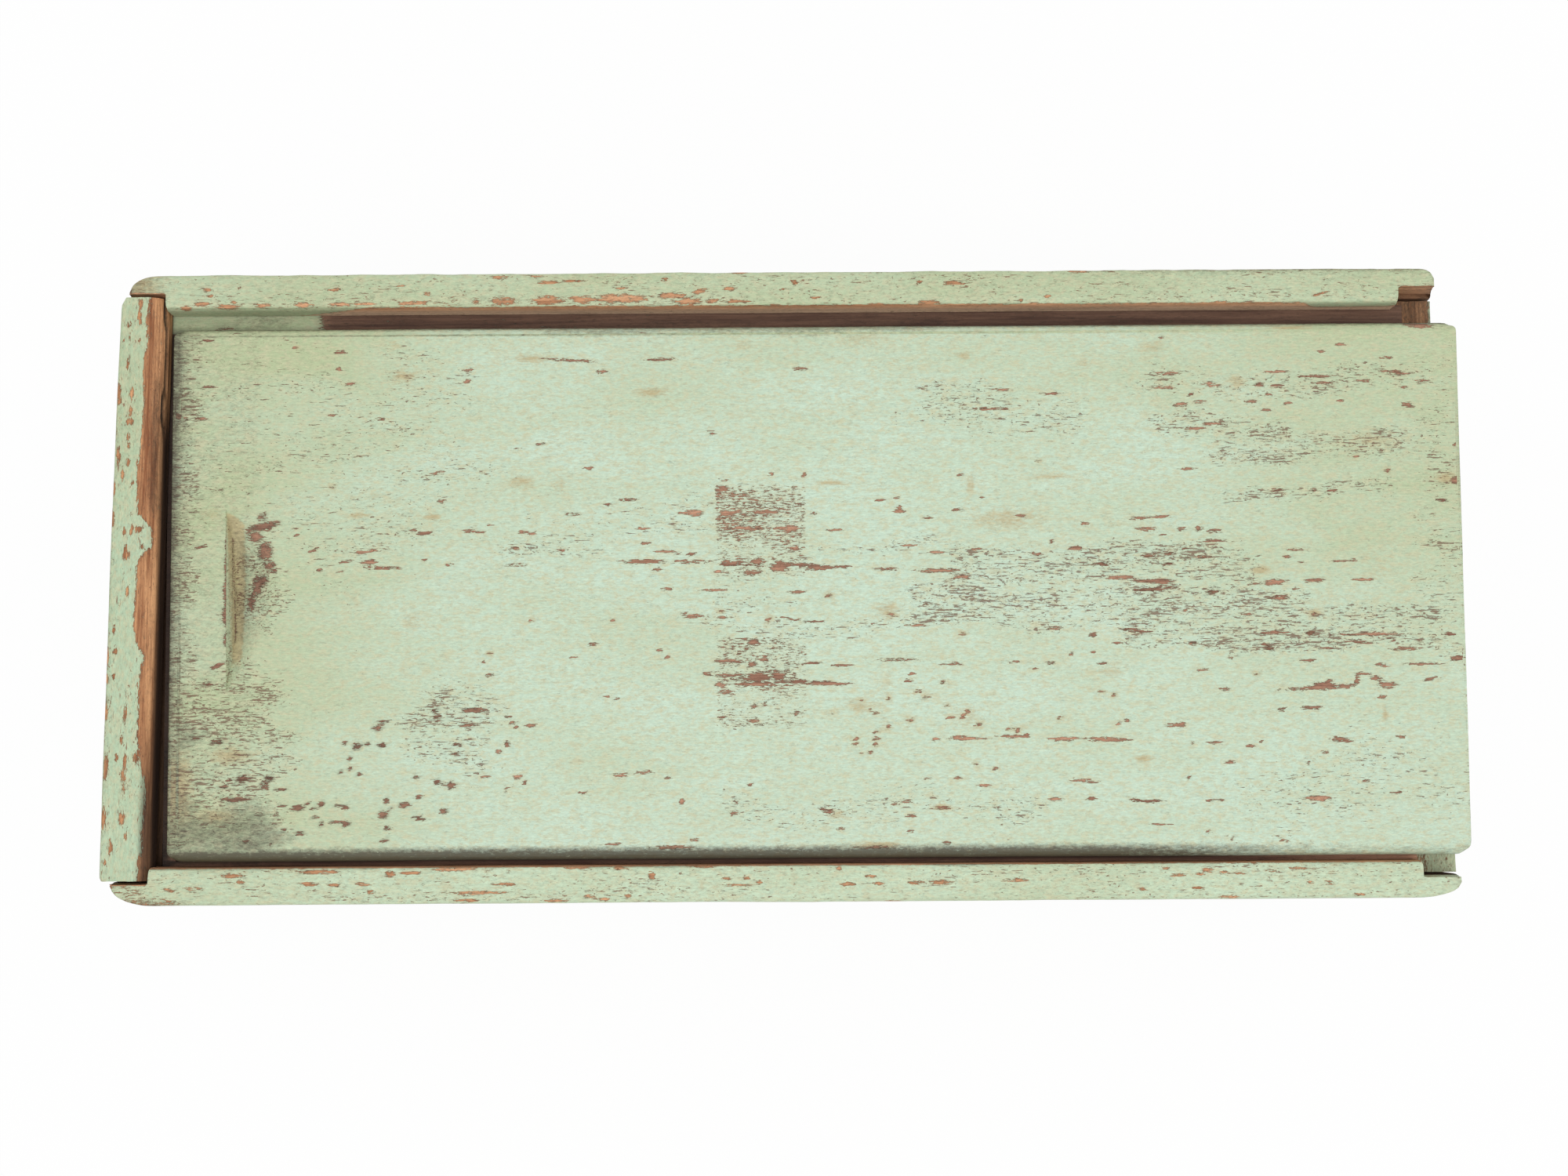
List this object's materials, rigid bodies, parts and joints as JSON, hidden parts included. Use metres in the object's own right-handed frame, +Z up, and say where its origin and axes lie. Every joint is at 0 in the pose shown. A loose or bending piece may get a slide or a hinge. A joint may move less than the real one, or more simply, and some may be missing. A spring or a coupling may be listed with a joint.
{
  "type": "slide-lid box",
  "caption": "Nailed wooden box with a lid that slides in grooves and draws out over the low end, in worn pale green paint.",
  "frame": {"origin": "middle of the underside of the bottom board", "axes": "+X towards the low end, where the lid draws out; +Y to the rear side; +Z up"},
  "size_m": [0.3332, 0.156, 0.108],
  "materials": {
    "painted_board": "old pale green oil paint, worn to bare wood on the edges; bare brown wood inside",
    "painted_lid": "old pale green oil paint, flaked along the grain",
    "bottom_wood": "bare planed board, darkened with age",
    "nail_iron": "rusted cut nails"
  },
  "bodies": {
    "box": {"side_board_rear": "painted_board", "side_board_front": "painted_board", "tall_end_board": "painted_board", "low_end_board": "painted_board", "bottom_board": "bottom_wood", "nails_tall_end_rear": "nail_iron", "nails_tall_end_front": "nail_iron", "nails_low_end_rear": "nail_iron", "nails_low_end_front": "nail_iron", "nails_bottom_rear": "nail_iron", "nails_bottom_front": "nail_iron", "nails_bottom_tall_end": "nail_iron", "nails_bottom_low_end": "nail_iron"},
    "lid": {"sliding_lid": "painted_lid"}
  },
  "joints": [
    {"name": "lid_slide", "type": "slide", "parent": "box", "child": "lid", "axis": [1, 0, 0], "range_m": [-0.0017, 0.325]}
  ]
}
